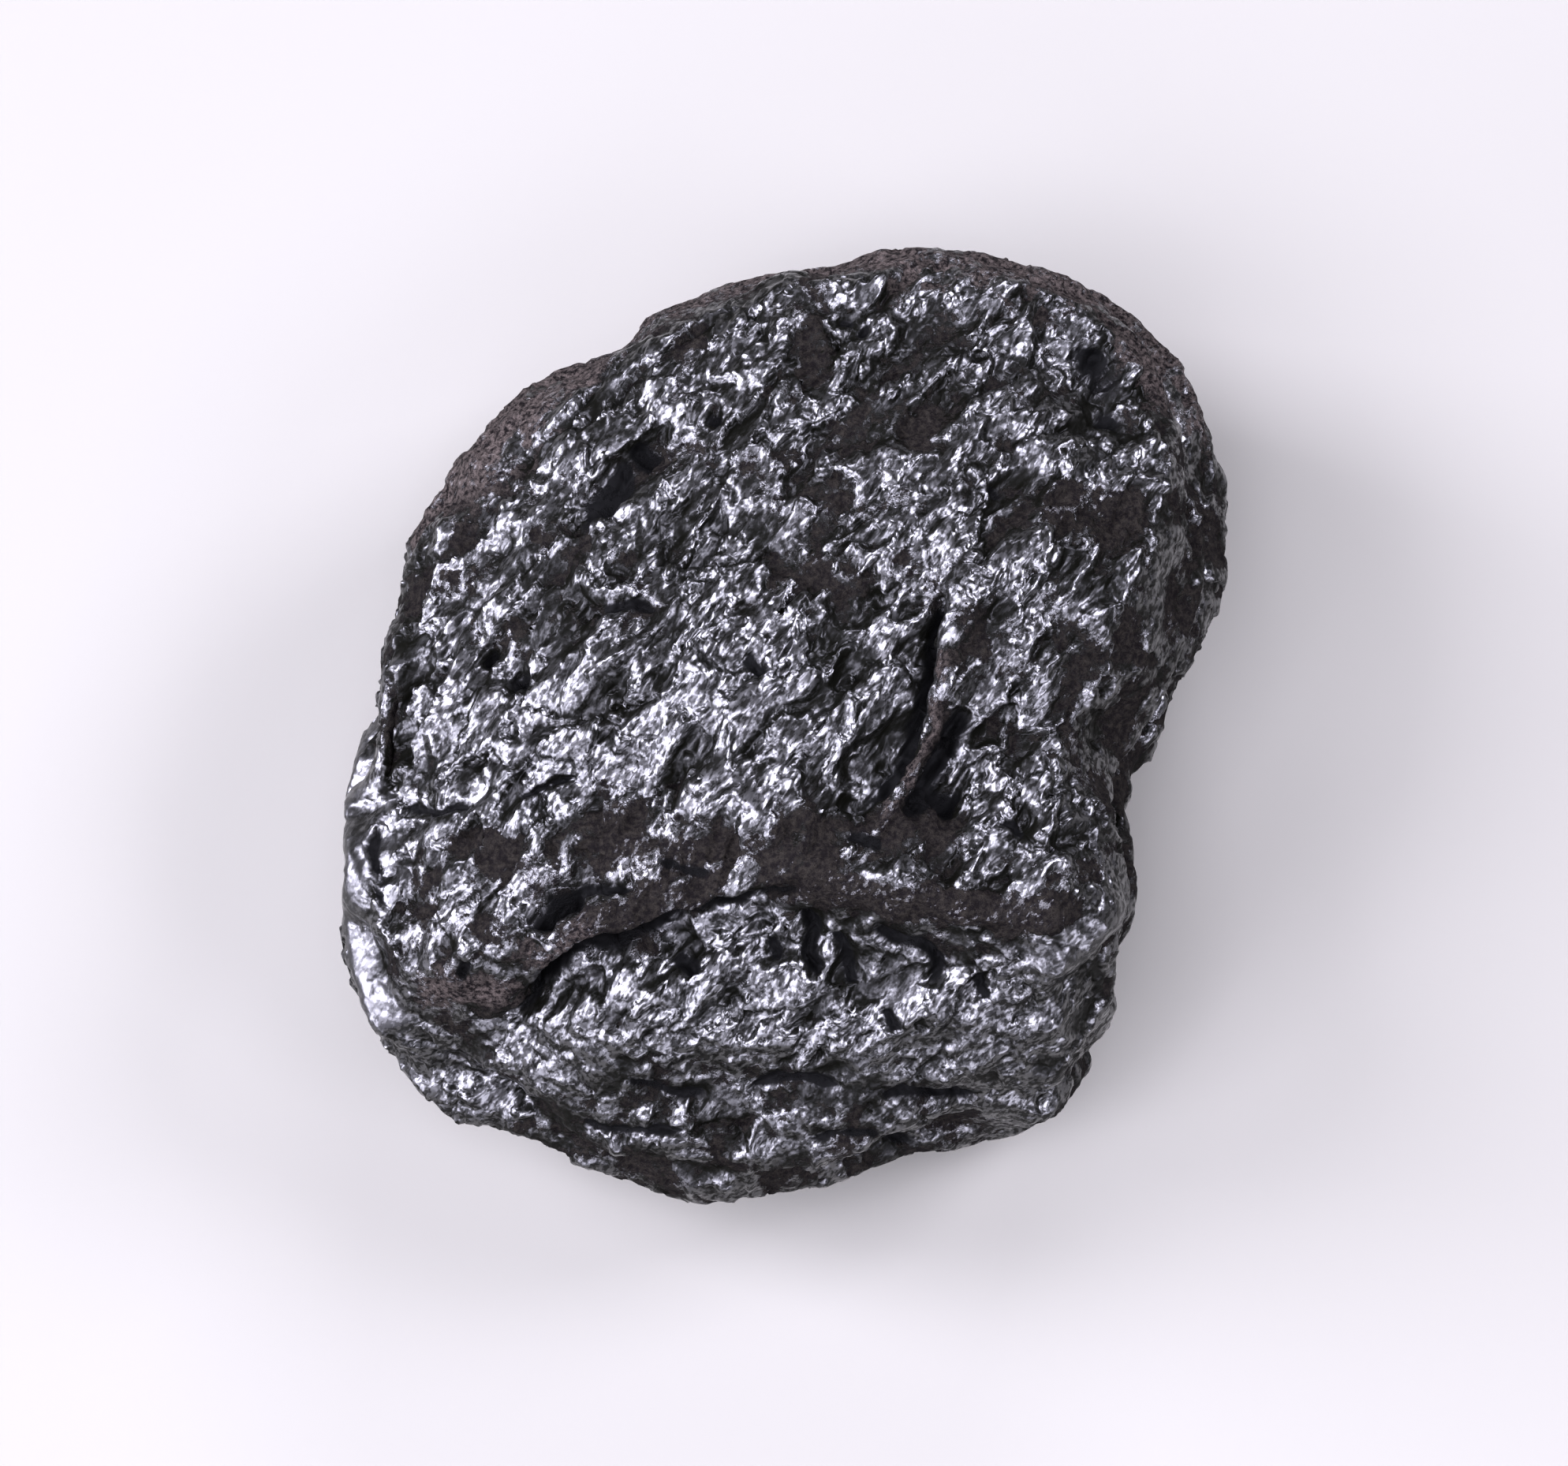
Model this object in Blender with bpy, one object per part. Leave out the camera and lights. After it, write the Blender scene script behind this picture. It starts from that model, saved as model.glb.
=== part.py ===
"""A lump of dried shilajit resin, one solid at its real size.

The lump is a squat, flat-topped cushion of black resin. While it was still soft
its front slumped and folded, so a creased lip runs across the top, and the front
face slopes down below the lip. It stands on the flat that its own weight pressed
into its underside. The origin is the middle of that resting side, +Y points to
the back of the lump and +Z is up.
"""

import bisect
import math

import bmesh
import bpy
from mathutils import Vector, noise

MM = 0.001

# Driving heights, in millimetres above the surface that the lump rests on.
CROWN_HEIGHT = 19.2
GIRTH_HEIGHT = 8.4

# The widest section seen from above, anticlockwise from the right side.
GIRTH_OUTLINE = [
    (17.6, 6.6), (16.9, 11.5), (14.3, 15.7), (9.9, 18.0), (4.8, 18.4), (-0.7, 17.5),
    (-4.6, 16.4), (-6.7, 14.4), (-11.0, 12.3), (-14.0, 8.9), (-15.5, 5.0),
    (-16.9, -0.5), (-17.6, -6.0), (-17.4, -10.1), (-15.6, -13.3), (-12.3, -15.9),
    (-7.5, -18.3), (-2.6, -19.5), (3.0, -18.6), (8.4, -16.9), (11.7, -15.6),
    (12.9, -11.7), (14.2, -7.2), (13.6, -3.7), (15.2, -0.6), (16.8, 2.9),
]
CROWN_SQUARENESS = 3.7  # superellipse exponent of the upper half: a flat top
BELLY_SQUARENESS = 2.6  # and of the lower half: tucked under
FOOT_SINK = 0.8  # how much of the belly the resting flat cuts away

# The top face leans to the left, so that its left side is the lowest.
LEAN_LEFT = 0.10
LEAN_FROM = 2.0
LEAN_BACK = 0.03

# The lip where the top face turns down into the slumped front.
LIP_LINE = [(-19.0, -17.0), (-13.3, -14.3), (-9.5, -12.2), (-5.0, -10.9), (0.0, -9.9),
            (5.5, -10.6), (9.6, -11.2), (13.4, -11.0), (19.0, -10.0)]
LIP_STEP = 0.16  # share of the crown's height that is lost right under the lip
LIP_STEP_RUN = 1.3
FRONT_FALL = 0.50  # share that is lost along the rest of the front face
FRONT_RUN = 10.0  # its plan length

# Folds and creases pressed into the top: plan line, depth, half width.
CREASES = [
    ([(-14.8, -15.0), (-11.0, -13.7), (-8.0, -12.2), (-4.3, -11.2), (-0.6, -10.2)], 1.7, 1.0),
    ([(-11.0, -10.2), (-8.7, -9.3), (-6.4, -8.8), (-3.3, -8.7), (-0.7, -8.6)], 0.7, 0.8),
    ([(-15.0, -5.6), (-12.6, -5.7), (-7.0, -5.1), (-3.3, -4.6), (2.6, -4.8)], 0.4, 0.8),
    ([(6.2, 3.6), (5.8, 0.1), (4.9, -2.0), (3.8, -4.0), (2.7, -6.0)], 0.8, 0.8),
    ([(-13.6, 2.4), (-15.0, -1.2), (-15.5, -4.6), (-15.4, -8.1), (-14.9, -11.0)], 0.7, 0.8),
    ([(-4.4, 8.9), (-5.6, 8.3), (-7.4, 7.1)], 0.8, 0.8),
    ([(1.4, -11.8), (4.2, -12.8), (7.6, -12.4)], 0.7, 0.9),
]
# Raised ridges and rolled rims: plan line, height, half width.
RIDGES = [
    ([(7.5, 3.6), (7.1, 0.2), (6.3, -1.8), (5.3, -3.9), (4.2, -6.4)], 0.7, 0.8),
    ([(-15.4, 2.4), (-16.4, -2.0), (-16.7, -7.0), (-15.8, -11.6)], 0.8, 0.8),
    ([(-7.0, 13.2), (-3.6, 15.0), (3.4, 16.6), (9.6, 16.2), (13.4, 13.8), (15.6, 9.4)], 0.7, 1.1),
    ([(1.0, -9.2), (5.6, -9.9), (9.7, -10.7), (12.8, -10.3)], 0.6, 0.9),
    ([(-13.2, -12.4), (-9.8, -11.2), (-6.4, -10.2), (-2.6, -9.6), (1.0, -9.2)], 0.5, 0.9),
]
# Round dents and bulges: plan place, signed height, radius.
HOLLOWS_AND_BULGES = [
    ((12.4, 12.6), -1.0, 2.6),
    ((8.4, -2.8), -1.0, 1.0),
    ((7.0, -5.7), -1.1, 1.2),
    ((-11.2, 0.2), -1.0, 1.0),
    ((-7.0, 2.0), 0.6, 5.0),
    ((-1.0, 10.0), -0.7, 4.5),
    ((12.0, -10.5), 1.0, 2.6),
    ((-6.0, -15.0), 1.1, 4.0),
    ((4.0, -15.0), 0.7, 3.5),
]

# Folds pressed into the sides: line of (azimuth in degrees, height), depth, half width.
SIDE_FOLDS = [
    ([(-35, 13.0), (-12, 11.5), (8, 8.0), (30, 6.5), (52, 7.5)], 1.5, 0.9),
    ([(20, 14.0), (45, 12.0), (75, 12.5), (100, 10.5)], 1.2, 0.8),
    ([(85, 5.0), (110, 6.5), (135, 9.5), (160, 9.0), (178, 6.0)], 1.6, 1.0),
    ([(150, 13.5), (172, 11.0), (190, 10.5), (205, 8.5)], 1.1, 0.8),
    ([(198, 4.0), (215, 5.0), (235, 6.0), (258, 5.0)], 1.3, 0.9),
    ([(228, 10.5), (246, 9.0), (262, 9.5), (280, 8.0), (300, 6.0)], 0.9, 0.8),
    ([(285, 12.0), (300, 10.5), (318, 5.5)], 1.3, 0.9),
]

# Wrinkles all over, as the skin shrank: wavelength and height.
UNDULATION_LENGTH = 9.0
UNDULATION_HEIGHT = 0.75
WRINKLE_LENGTH = 3.6
WRINKLE_HEIGHT = 0.55
# The fractal's own settings: fading, spacing of its octaves, their number, offset and gain.
WRINKLE_FRACTAL = (0.9, 2.0, 2, 1.0, 1.6)
WRINKLE_MIDDLE = 0.9  # the fractal's usual value, which lies on the plain surface
SIDE_PLEAT_LENGTH = Vector((7.5, 7.5, 2.6))
SIDE_PLEAT_HEIGHT = 1.0

# The top's folds fade out over this height above the widest section.
TOP_FOLDS_FADE = 4.0
# The block that cuts the resting flat, wider than the lump.
FOOT_BLOCK_SIZE = 60.0

SPHERE_SUBDIVISIONS = 6
SOFTENING_PASSES = 3  # resin flows a little before it sets, so no fold is knife-sharp
SOLID_TRIANGLES = 7600


def clear_scene():
    for obj in list(bpy.data.objects):
        bpy.data.objects.remove(obj)


def smooth_line(points, closed=False, steps=8):
    """Points along a Catmull-Rom curve through the given plan points."""
    count = len(points)
    spans = count if closed else count - 1

    def point(index):
        if closed:
            return Vector(points[index % count])
        return Vector(points[min(max(index, 0), count - 1)])

    line = []
    for span in range(spans):
        before, start, end, after = (point(span + k) for k in (-1, 0, 1, 2))
        for step in range(steps):
            t = step / steps
            line.append(0.5 * (2 * start + (end - before) * t
                               + (2 * before - 5 * start + 4 * end - after) * t * t
                               + (3 * start - before - 3 * end + after) * t ** 3))
    if not closed:
        line.append(point(count - 1))
    return line


def radius_by_angle(outline):
    """A function that gives the outline's radius at an angle about the origin."""
    polar = sorted((math.atan2(p.y, p.x), p.length) for p in smooth_line(outline, closed=True))
    turn = 2 * math.pi
    polar = [(polar[-1][0] - turn, polar[-1][1]), *polar, (polar[0][0] + turn, polar[0][1])]
    angles = [angle for angle, _ in polar]

    def radius(angle):
        after = max(1, bisect.bisect_left(angles, angle))
        (a0, r0), (a1, r1) = polar[after - 1], polar[after]
        return r0 + (r1 - r0) * (angle - a0) / (a1 - a0)

    return radius


def distance_to_line(plan, line):
    """Plan distance from a point to a polyline."""
    nearest = math.inf
    for start, end in zip(line, line[1:]):
        along = end - start
        t = min(1.0, max(0.0, (plan - start).dot(along) / along.length_squared))
        nearest = min(nearest, (plan - start - along * t).length)
    return nearest


def bell(distance, half_width):
    return math.exp(-((distance / half_width) ** 2))


def smoothstep(low, high, value):
    t = min(1.0, max(0.0, (value - low) / (high - low)))
    return t * t * (3 - 2 * t)


def height_at(line, x):
    """The y of a left-to-right line at x."""
    for start, end in zip(line, line[1:]):
        if x <= end.x:
            return start.y + (end.y - start.y) * (x - start.x) / (end.x - start.x)
    return line[-1].y


def cushion_point(direction, girth_radius, lip):
    """Where a direction from the middle of the lump meets the plain cushion, before any folds."""
    spread = math.hypot(direction.x, direction.y)
    upper = direction.z >= 0
    squareness = CROWN_SQUARENESS if upper else BELLY_SQUARENESS
    reach = (spread ** squareness + abs(direction.z) ** squareness) ** (-1 / squareness)
    radius = girth_radius(math.atan2(direction.y, direction.x))
    x = direction.x * reach * radius
    y = direction.y * reach * radius
    rise = direction.z * reach
    if not upper:
        return Vector((x, y, GIRTH_HEIGHT + rise * (GIRTH_HEIGHT + FOOT_SINK)))
    past_lip = height_at(lip, x) - y
    slump = LIP_STEP * smoothstep(0, LIP_STEP_RUN, past_lip)
    slump += FRONT_FALL * smoothstep(0, FRONT_RUN, past_lip)
    crown = (CROWN_HEIGHT - GIRTH_HEIGHT) * (1 - slump)
    crown -= LEAN_LEFT * max(0.0, LEAN_FROM - x) + LEAN_BACK * max(0.0, y)
    return Vector((x, y, GIRTH_HEIGHT + rise * crown))


def top_relief(point, creases, ridges):
    """Height of the folds, ridges and dents at a point of the top, in millimetres."""
    plan = point.xy
    relief = -sum(depth * bell(distance_to_line(plan, line), width) for line, depth, width in creases)
    relief += sum(height * bell(distance_to_line(plan, line), width) for line, height, width in ridges)
    relief += sum(height * bell((plan - Vector(place)).length, radius)
                  for place, height, radius in HOLLOWS_AND_BULGES)
    return relief * smoothstep(GIRTH_HEIGHT, GIRTH_HEIGHT + TOP_FOLDS_FADE, point.z)


def side_relief(point, side_folds):
    """Depth of the folds in the sides at a point, in millimetres."""
    radius = point.xy.length
    azimuth = math.atan2(point.y, point.x)
    relief = 0.0
    for line, depth, width in side_folds:
        turns = round((line[len(line) // 2].x - azimuth) / math.tau)
        unrolled = Vector(((azimuth + turns * math.tau) * radius, point.z))
        unrolled_line = [Vector((p.x * radius, p.y)) for p in line]
        relief -= depth * bell(distance_to_line(unrolled, unrolled_line), width)
    return relief


def skin_relief(point, normal):
    """Height of the shrunken skin's wrinkles at a point, in millimetres."""
    undulation = noise.noise(point / UNDULATION_LENGTH) * UNDULATION_HEIGHT
    fractal = noise.ridged_multi_fractal(point / WRINKLE_LENGTH, *WRINKLE_FRACTAL)
    wrinkle = (fractal - WRINKLE_MIDDLE) * WRINKLE_HEIGHT
    pleat_place = Vector(p / size for p, size in zip(point, SIDE_PLEAT_LENGTH))
    pleat = (0.5 - 2 * abs(noise.noise(pleat_place))) * SIDE_PLEAT_HEIGHT
    sideways = 1 - abs(normal.z)
    return undulation + wrinkle + pleat * sideways


def smooth_folds(folds):
    """Each fold with its line made a smooth curve."""
    return [(smooth_line(line, steps=4), height, width) for line, height, width in folds]


def side_folds_in_radians():
    folds = []
    for line, depth, width in SIDE_FOLDS:
        folds.append(([(math.radians(azimuth), height) for azimuth, height in line], depth, width))
    return folds


def lump_mesh():
    """The whole lump as one closed mesh, in metres, centred over the origin."""
    girth_radius = radius_by_angle(GIRTH_OUTLINE)
    lip = smooth_line(LIP_LINE)
    creases = smooth_folds(CREASES)
    ridges = smooth_folds(RIDGES)
    side_folds = smooth_folds(side_folds_in_radians())

    shape = bmesh.new()
    bmesh.ops.create_icosphere(shape, subdivisions=SPHERE_SUBDIVISIONS, radius=1.0)
    for vertex in shape.verts:
        vertex.co = cushion_point(vertex.co.normalized(), girth_radius, lip)
    for vertex in shape.verts:
        vertex.co.z += top_relief(vertex.co, creases, ridges)
    shape.normal_update()
    moves = []
    for vertex in shape.verts:
        sideways = 1 - abs(vertex.normal.z)
        relief = skin_relief(vertex.co, vertex.normal) + side_relief(vertex.co, side_folds) * sideways
        moves.append(vertex.normal * relief)
    for vertex, move in zip(shape.verts, moves):
        vertex.co += move

    xs = [vertex.co.x for vertex in shape.verts]
    ys = [vertex.co.y for vertex in shape.verts]
    middle = Vector(((min(xs) + max(xs)) / 2, (min(ys) + max(ys)) / 2, 0))
    for vertex in shape.verts:
        vertex.co = (vertex.co - middle) * MM
    mesh = bpy.data.meshes.new("shilajit_lump")
    shape.to_mesh(mesh)
    shape.free()
    return mesh


def foot_cutter():
    """A block under the resting surface, which cuts the flat that the lump stands on."""
    size = FOOT_BLOCK_SIZE * MM
    shape = bmesh.new()
    bmesh.ops.create_cube(shape, size=size)
    bmesh.ops.translate(shape, verts=shape.verts, vec=(0, 0, -size / 2))
    mesh = bpy.data.meshes.new("resting_surface")
    shape.to_mesh(mesh)
    shape.free()
    cutter = bpy.data.objects.new("resting_surface", mesh)
    bpy.context.scene.collection.objects.link(cutter)
    cutter.hide_render = True
    cutter.display_type = "WIRE"
    return cutter


def resin_material():
    """Dried resin: brown-black and glossy where the skin is bare."""
    material = bpy.data.materials.new("dried_resin")
    material.use_nodes = True
    shader = material.node_tree.nodes["Principled BSDF"]
    shader.inputs["Base Color"].default_value = (0.012, 0.010, 0.009, 1.0)
    shader.inputs["Roughness"].default_value = 0.32
    shader.inputs["Metallic"].default_value = 0.0
    return material


def build_lump():
    lump = bpy.data.objects.new("shilajit_lump", lump_mesh())
    bpy.context.scene.collection.objects.link(lump)
    lump.data.materials.append(resin_material())
    lump.data.shade_smooth()

    soften = lump.modifiers.new("soften", "SMOOTH")
    soften.iterations = SOFTENING_PASSES

    thin_out = lump.modifiers.new("thin_out", "DECIMATE")
    thin_out.ratio = SOLID_TRIANGLES / len(lump.data.polygons)

    flat_foot = lump.modifiers.new("flat_foot", "BOOLEAN")
    flat_foot.operation = "DIFFERENCE"
    flat_foot.object = foot_cutter()


clear_scene()
build_lump()
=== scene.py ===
import math

import bmesh
import bpy
import numpy as np
from mathutils import Matrix, Vector, noise
from mathutils.bvhtree import BVHTree


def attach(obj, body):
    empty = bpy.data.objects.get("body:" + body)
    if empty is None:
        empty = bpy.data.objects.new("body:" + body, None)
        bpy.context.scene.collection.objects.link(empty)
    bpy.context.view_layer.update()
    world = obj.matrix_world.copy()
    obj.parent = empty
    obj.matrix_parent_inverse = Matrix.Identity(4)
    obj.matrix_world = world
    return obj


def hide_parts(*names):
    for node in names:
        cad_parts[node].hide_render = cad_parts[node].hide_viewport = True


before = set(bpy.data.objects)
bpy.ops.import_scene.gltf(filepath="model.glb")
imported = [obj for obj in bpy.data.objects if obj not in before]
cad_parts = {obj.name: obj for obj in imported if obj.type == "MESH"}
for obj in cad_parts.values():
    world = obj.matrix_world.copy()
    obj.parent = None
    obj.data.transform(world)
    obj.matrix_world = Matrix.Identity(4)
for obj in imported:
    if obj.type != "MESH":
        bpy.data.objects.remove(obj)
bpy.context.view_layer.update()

# Camera. A long lens in front of the lump and high above it, looking steeply down on its flat top.
# Its place is in millimetres, as the whole lump is, until a last scaling to the frame's metres.
MM = 0.001
CAMERA_ELEVATION = math.radians(75)
CAMERA_DISTANCE = 600.0
AIM = Vector((0.0, 0.0, 8.0))
LENS_LENGTH = 337.0
SENSOR_WIDTH = 36.0
NEAREST_SEEN = 0.01

backwards = Vector((0.0, -math.cos(CAMERA_ELEVATION), math.sin(CAMERA_ELEVATION)))
view_right = Vector((1.0, 0.0, 0.0))
view_up = backwards.cross(view_right)
camera_place = AIM + backwards * CAMERA_DISTANCE

lens = bpy.data.cameras.new("camera")
lens.lens = LENS_LENGTH
lens.sensor_width = SENSOR_WIDTH
lens.clip_start = NEAREST_SEEN
camera = bpy.data.objects.new("camera", lens)
camera.location = camera_place * MM
camera.rotation_euler = backwards.to_track_quat("Z", "Y").to_euler()
bpy.context.scene.collection.objects.link(camera)
bpy.context.scene.camera = camera


# The lump. Shilajit is mineral pitch, a brown-black resin that seeps out of rock. This lump of it was
# gathered warm and soft, slumped into a flat-topped cushion where it was laid down, and set in one piece.
# Its form is the frame's solid, the facets melted away on a fine even mesh that can hold the folds.
FINE_MESH = 0.14
WELD_DISTANCE = 0.001
MELT_PASSES = 10

form = bpy.data.objects.new("melted_form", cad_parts["shilajit_lump"].data.copy())
form.data.transform(Matrix.Scale(1 / MM, 4))
merged = bmesh.new()
merged.from_mesh(form.data)
bmesh.ops.remove_doubles(merged, verts=merged.verts, dist=WELD_DISTANCE)
merged.to_mesh(form.data)
merged.free()
bpy.context.scene.collection.objects.link(form)

remesh = form.modifiers.new("even_mesh", "REMESH")
remesh.mode = "VOXEL"
remesh.voxel_size = FINE_MESH
melt = form.modifiers.new("melt", "SMOOTH")
melt.iterations = MELT_PASSES


def plain_mesh(obj, name):
    """The object's mesh as its modifiers leave it."""
    depsgraph = bpy.context.evaluated_depsgraph_get()
    mesh = bpy.data.meshes.new_from_object(obj.evaluated_get(depsgraph), depsgraph=depsgraph)
    mesh.name = name
    return mesh


body = plain_mesh(form, "folded_form")
bpy.data.objects.remove(form)


# The folds. While it was warm the lump sagged forwards, and its skin was pressed into a deep lip, cracks,
# narrow ridges and pits. Each is a line on the skin, in millimetres right of and above the middle of the
# camera's view, and is cast from there onto the form.
points = np.empty(len(body.vertices) * 3, np.float32)
body.vertices.foreach_get("co", points)
points = points.reshape(-1, 3).astype(float)
skin = BVHTree.FromPolygons([tuple(p) for p in points], [tuple(f.vertices) for f in body.polygons])

# Nothing pressed or smeared in resin has an even edge, so a line's distances are measured from points
# that waver, slowly and quickly: by a little for what is pressed in, and by more for what is smeared on.
SLOW_WAVES_PER_MM = 0.9
QUICK_WAVES_PER_MM = 2.3
PRESSED_SLOW, PRESSED_QUICK = 0.2, 0.1
SMEARED_SLOW, SMEARED_QUICK = 0.7, 0.3
WAVER_SEED = 1
noise.seed_set(WAVER_SEED)
slow_waver = np.array([noise.noise_vector(Vector(p) * SLOW_WAVES_PER_MM) for p in points])
quick_waver = np.array([noise.noise_vector(Vector(p) * QUICK_WAVES_PER_MM) for p in points])
pressed_points = points + PRESSED_SLOW * slow_waver + PRESSED_QUICK * quick_waver
smeared_points = points + SMEARED_SLOW * slow_waver + SMEARED_QUICK * quick_waver


def on_skin(right, up):
    """The point of the skin, and its normal, that the camera sees at a place in the view."""
    towards = AIM + view_right * right + view_up * up - camera_place
    point, normal, _, _ = skin.ray_cast(camera_place, towards.normalized())
    if point is None:
        point, normal, _, _ = skin.find_nearest(AIM + view_right * right + view_up * up)
    return point, normal


def smooth_route(route, spacing=0.15):
    """Points along a Catmull-Rom curve through the route's own points."""
    route = [Vector(p) for p in route]
    ends = [2 * route[0] - route[1], *route, 2 * route[-1] - route[-2]]
    line = []
    for before, start, end, after in zip(ends, ends[1:], ends[2:], ends[3:]):
        parts = max(1, round((end - start).length / spacing))
        for part in range(parts):
            t = part / parts
            line.append(0.5 * (2 * start + (end - before) * t
                               + (2 * before - 5 * start + 4 * end - after) * t * t
                               + (3 * start - before - 3 * end + after) * t ** 3))
    line.append(route[-1])
    return line


class Line:
    """A line on the skin: how far the mesh's points are from it, on which side, and how near an end."""

    def __init__(self, route, reach, wavering=pressed_points):
        seen = [on_skin(*place) for place in smooth_route(route)]
        at = np.array([point for point, _ in seen])
        out = np.array([normal for _, normal in seen])
        along = np.gradient(at, axis=0)
        across = np.cross(out, along)
        across /= np.linalg.norm(across, axis=1)[:, None]
        low, high = at.min(0) - reach, at.max(0) + reach
        self.index = np.flatnonzero(((wavering > low) & (wavering < high)).all(1))
        near = wavering[self.index]
        away = np.linalg.norm(near[:, None] - at[None], axis=2)
        nearest = away.argmin(1)
        self.distance = away.min(1)
        within = self.distance < reach
        self.index, nearest = self.index[within], nearest[within]
        self.distance = self.distance[within]
        offset = near[within] - at[nearest]
        self.side = (offset * across[nearest]).sum(1)
        self.out = out[nearest]
        self.across = across[nearest]
        self.share = nearest / (len(at) - 1)

    def taper(self, run=0.18, fullness=0.6):
        """1 along the middle of the line, falling to 0 over this share of it at each end."""
        return np.clip(np.minimum(self.share, 1 - self.share) / run, 0, 1) ** fullness


def smooth_step(low, high, value):
    """0 below low, 1 above high, and a smooth rise between them."""
    t = np.clip((value - low) / (high - low), 0, 1)
    return t * t * (3 - 2 * t)


# What each point of the skin is given: how far it moves, how powdery it is, or glossy where that is below
# zero, how thick the powder lies, which on the back rim and the groove's ridge also paints a sheen, how
# deep in a gap or a shaded hollow it is, which paints its shade, and how far it is stretched taut.
moves = np.zeros_like(points)
dull = np.zeros(len(points))
thick_and_sheen = np.zeros(len(points))
gap_shade = np.zeros(len(points))
calm = np.zeros(len(points))


def crease(route, depth, half_width, marked=1.1):
    """Presses a narrow crack into the skin, and marks its inside, some half widths wide, for painted
    shade.
    """
    line = Line(route, reach=4 * half_width)
    sunk = depth * np.exp(-line.distance / half_width) * line.taper()
    moves[line.index] -= line.out * sunk[:, None]
    inside = np.exp(-(line.distance / (marked * half_width)) ** 2) * line.taper()
    gap_shade[line.index] = np.maximum(gap_shade[line.index], inside)


def ridge(route, height, half_width, flatness):
    """Raises a thin fold of skin, round on top with a flatness of 2 and flatter above that."""
    line = Line(route, reach=3 * half_width)
    raised = height * np.exp(-(line.distance / half_width) ** flatness) * line.taper()
    moves[line.index] += line.out * raised[:, None]


def pit(place, depth, radius):
    """Presses a small hole into the skin, and marks its inside for painted shade."""
    middle, out = on_skin(*place)
    distance = np.linalg.norm(pressed_points - np.array(middle), axis=1)
    inside = np.exp(-(distance / radius) ** 2)
    moves[:] -= np.array(out)[None] * (depth * inside)[:, None]
    gap_shade[:] = np.maximum(gap_shade, inside)


def patch(field, route, half_width, strength):
    """Adds to a field along a band of the skin that fades out towards its edges."""
    solid_to, faded_by = 0.2 * half_width, 1.8 * half_width
    line = Line(route, faded_by, smeared_points)
    field[line.index] += strength * (1 - smooth_step(solid_to, faded_by, line.distance))


# The deep fold: the top's skin laps over the front a little, with a dark gap under its edge that is widest
# near its left end. The flap rises over its edge and sinks over its width, both measured from the fold.
FOLD = [(-13.0, -11.7), (-11.7, -11.5), (-11.0, -11.1), (-10.3, -10.3), (-9.4, -9.1), (-7.9, -8.2),
        (-6.7, -8.0), (-5.5, -7.5), (-4.0, -7.0), (-1.9, -6.5), (-0.7, -6.3), (0.8, -6.1)]
FLAP_RISE = 0.5
FLAP_LAP = 0.2
FLAP_EDGE = 0.4
FLAP_WIDTH = 2.4
FLAP_REACH = 3.2
FLAP_TAPER = 0.12
line = Line(FOLD, FLAP_REACH)
flap = smooth_step(0.0, FLAP_EDGE, line.side) * (1 - smooth_step(FLAP_EDGE, FLAP_WIDTH, line.side))
move = line.out * (FLAP_RISE * flap)[:, None] - line.across * (FLAP_LAP * flap)[:, None]
moves[line.index] += move * line.taper(FLAP_TAPER)[:, None]

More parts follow.
